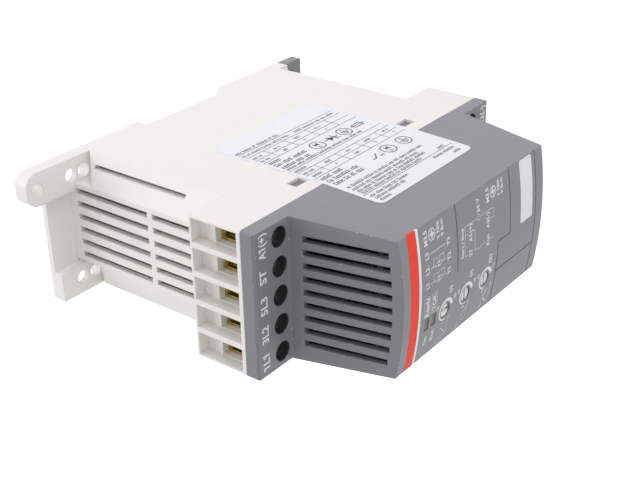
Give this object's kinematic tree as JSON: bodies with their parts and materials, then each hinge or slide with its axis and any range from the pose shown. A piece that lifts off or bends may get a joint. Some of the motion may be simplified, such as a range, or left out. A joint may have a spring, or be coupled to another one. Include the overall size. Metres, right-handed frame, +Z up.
{
  "type": "soft starter",
  "caption": "Rail-mounted electronic motor soft starter with cage-clamp terminals, setting dials and a sprung rail latch",
  "frame": {"origin": "middle of the mounting plane, between the two outer panel screw holes", "axes": "X across the width to the labelled side, -Y out of the front, Z up to the line terminals"},
  "size_m": [0.0451, 0.114, 0.14],
  "materials": {
    "light_plastic": "fine matt moulding",
    "grey_plastic": "fine matt moulding",
    "latch_plastic": "fine matt moulding",
    "black_plastic": "moulded",
    "white_plastic": "moulded",
    "marker_plastic": "satin",
    "red_print": "printed band",
    "white_print": "printed line",
    "label_film": "satin film",
    "clear_lens": "clear",
    "smoked_lens": "smoked",
    "board": "solder mask",
    "zinc_steel": "zinc plated",
    "spring_steel": "drawn wire",
    "brass": "yellow passivated",
    "copper": "tinned copper",
    "aluminium": "extruded"
  },
  "bodies": {
    "housing": {"base_housing": "light_plastic", "front_cover": "grey_plastic", "screw_guides": "black_plastic", "line_bars": "copper", "load_bars": "copper", "phase_3_bar": "copper", "control_tongues": "copper", "heat_sink": "aluminium", "thyristor_1": "black_plastic", "thyristor_2": "black_plastic", "power_board": "board", "power_board_screws": "zinc_steel", "bypass_relay_1": "black_plastic", "bypass_relay_2": "black_plastic", "supply_transformer": "black_plastic", "signal_relay": "black_plastic", "filter_capacitors": "black_plastic", "riser_board": "board", "control_board": "board", "control_board_screws": "zinc_steel", "trim_pots": "black_plastic", "status_leds": "clear_lens", "light_pipe_1": "smoked_lens", "light_pipe_2": "smoked_lens", "plug_cover": "grey_plastic", "plug_socket": "black_plastic", "marker_plate": "marker_plastic", "accent_band": "red_print", "accent_line": "white_print", "side_label": "label_film", "latch_spring": "spring_steel"},
    "line_screw_1": {"line_screw_1": "zinc_steel"},
    "line_cage_1": {"line_cage_1": "brass"},
    "line_screw_2": {"line_screw_2": "zinc_steel"},
    "line_cage_2": {"line_cage_2": "brass"},
    "line_screw_3": {"line_screw_3": "zinc_steel"},
    "line_cage_3": {"line_cage_3": "brass"},
    "line_screw_4": {"line_screw_4": "zinc_steel"},
    "line_cage_4": {"line_cage_4": "brass"},
    "line_screw_5": {"line_screw_5": "zinc_steel"},
    "line_cage_5": {"line_cage_5": "brass"},
    "load_screw_1": {"load_screw_1": "zinc_steel"},
    "load_cage_1": {"load_cage_1": "brass"},
    "load_screw_2": {"load_screw_2": "zinc_steel"},
    "load_cage_2": {"load_cage_2": "brass"},
    "load_screw_3": {"load_screw_3": "zinc_steel"},
    "load_cage_3": {"load_cage_3": "brass"},
    "load_screw_4": {"load_screw_4": "zinc_steel"},
    "load_cage_4": {"load_cage_4": "brass"},
    "load_screw_5": {"load_screw_5": "zinc_steel"},
    "load_cage_5": {"load_cage_5": "brass"},
    "trim_knob_1": {"trim_knob_1": "white_plastic"},
    "trim_knob_2": {"trim_knob_2": "white_plastic"},
    "trim_knob_3": {"trim_knob_3": "white_plastic"},
    "din_latch": {"din_latch": "latch_plastic"}
  },
  "joints": [
    {"name": "line_screw_1_turn", "type": "hinge", "parent": "housing", "child": "line_screw_1", "pos_m": [-0.0178, -0.0766, 0.0496], "axis": [0, 1, 0], "range_deg": [0, 2400]},
    {"name": "line_cage_1_lift", "type": "slide", "parent": "housing", "child": "line_cage_1", "axis": [0, -1, 0], "range_m": [0, 0.004]},
    {"name": "line_screw_2_turn", "type": "hinge", "parent": "housing", "child": "line_screw_2", "pos_m": [-0.0089, -0.0766, 0.0496], "axis": [0, 1, 0], "range_deg": [0, 2400]},
    {"name": "line_cage_2_lift", "type": "slide", "parent": "housing", "child": "line_cage_2", "axis": [0, -1, 0], "range_m": [0, 0.004]},
    {"name": "line_screw_3_turn", "type": "hinge", "parent": "housing", "child": "line_screw_3", "pos_m": [0, -0.0766, 0.0496], "axis": [0, 1, 0], "range_deg": [0, 2400]},
    {"name": "line_cage_3_lift", "type": "slide", "parent": "housing", "child": "line_cage_3", "axis": [0, -1, 0], "range_m": [0, 0.004]},
    {"name": "line_screw_4_turn", "type": "hinge", "parent": "housing", "child": "line_screw_4", "pos_m": [0.0089, -0.0766, 0.0496], "axis": [0, 1, 0], "range_deg": [0, 2400]},
    {"name": "line_cage_4_lift", "type": "slide", "parent": "housing", "child": "line_cage_4", "axis": [0, -1, 0], "range_m": [0, 0.004]},
    {"name": "line_screw_5_turn", "type": "hinge", "parent": "housing", "child": "line_screw_5", "pos_m": [0.0178, -0.0766, 0.0496], "axis": [0, 1, 0], "range_deg": [0, 2400]},
    {"name": "line_cage_5_lift", "type": "slide", "parent": "housing", "child": "line_cage_5", "axis": [0, -1, 0], "range_m": [0, 0.004]},
    {"name": "load_screw_1_turn", "type": "hinge", "parent": "housing", "child": "load_screw_1", "pos_m": [-0.0178, -0.0766, -0.0496], "axis": [0, 1, 0], "range_deg": [0, 2400]},
    {"name": "load_cage_1_lift", "type": "slide", "parent": "housing", "child": "load_cage_1", "axis": [0, -1, 0], "range_m": [0, 0.004]},
    {"name": "load_screw_2_turn", "type": "hinge", "parent": "housing", "child": "load_screw_2", "pos_m": [-0.0089, -0.0766, -0.0496], "axis": [0, 1, 0], "range_deg": [0, 2400]},
    {"name": "load_cage_2_lift", "type": "slide", "parent": "housing", "child": "load_cage_2", "axis": [0, -1, 0], "range_m": [0, 0.004]},
    {"name": "load_screw_3_turn", "type": "hinge", "parent": "housing", "child": "load_screw_3", "pos_m": [0, -0.0766, -0.0496], "axis": [0, 1, 0], "range_deg": [0, 2400]},
    {"name": "load_cage_3_lift", "type": "slide", "parent": "housing", "child": "load_cage_3", "axis": [0, -1, 0], "range_m": [0, 0.004]},
    {"name": "load_screw_4_turn", "type": "hinge", "parent": "housing", "child": "load_screw_4", "pos_m": [0.0089, -0.0766, -0.0496], "axis": [0, 1, 0], "range_deg": [0, 2400]},
    {"name": "load_cage_4_lift", "type": "slide", "parent": "housing", "child": "load_cage_4", "axis": [0, -1, 0], "range_m": [0, 0.004]},
    {"name": "load_screw_5_turn", "type": "hinge", "parent": "housing", "child": "load_screw_5", "pos_m": [0.0178, -0.0766, -0.0496], "axis": [0, 1, 0], "range_deg": [0, 2400]},
    {"name": "load_cage_5_lift", "type": "slide", "parent": "housing", "child": "load_cage_5", "axis": [0, -1, 0], "range_m": [0, 0.004]},
    {"name": "trim_knob_1_turn", "type": "hinge", "parent": "housing", "child": "trim_knob_1", "pos_m": [-0.0094, -0.112, 0.0168], "axis": [0, 1, 0], "range_deg": [-135, 135]},
    {"name": "trim_knob_2_turn", "type": "hinge", "parent": "housing", "child": "trim_knob_2", "pos_m": [-0.0094, -0.112, 0.0058], "axis": [0, 1, 0], "range_deg": [-135, 135]},
    {"name": "trim_knob_3_turn", "type": "hinge", "parent": "housing", "child": "trim_knob_3", "pos_m": [-0.0094, -0.112, -0.0052], "axis": [0, 1, 0], "range_deg": [-135, 135]},
    {"name": "din_latch_pull", "type": "slide", "parent": "housing", "child": "din_latch", "axis": [0, 0, -1], "range_m": [0, 0.0045], "stiffness_N_per_m": 1500, "springref_m": -0.003, "deforming": ["latch_spring"]}
  ],
  "couplings": [
    {"joint": "line_screw_1_turn", "follows": "line_cage_1_lift", "rad_per_m": 10472},
    {"joint": "line_screw_2_turn", "follows": "line_cage_2_lift", "rad_per_m": 10472},
    {"joint": "line_screw_3_turn", "follows": "line_cage_3_lift", "rad_per_m": 10472},
    {"joint": "line_screw_4_turn", "follows": "line_cage_4_lift", "rad_per_m": 10472},
    {"joint": "line_screw_5_turn", "follows": "line_cage_5_lift", "rad_per_m": 10472},
    {"joint": "load_screw_1_turn", "follows": "load_cage_1_lift", "rad_per_m": 10472},
    {"joint": "load_screw_2_turn", "follows": "load_cage_2_lift", "rad_per_m": 10472},
    {"joint": "load_screw_3_turn", "follows": "load_cage_3_lift", "rad_per_m": 10472},
    {"joint": "load_screw_4_turn", "follows": "load_cage_4_lift", "rad_per_m": 10472},
    {"joint": "load_screw_5_turn", "follows": "load_cage_5_lift", "rad_per_m": 10472}
  ]
}
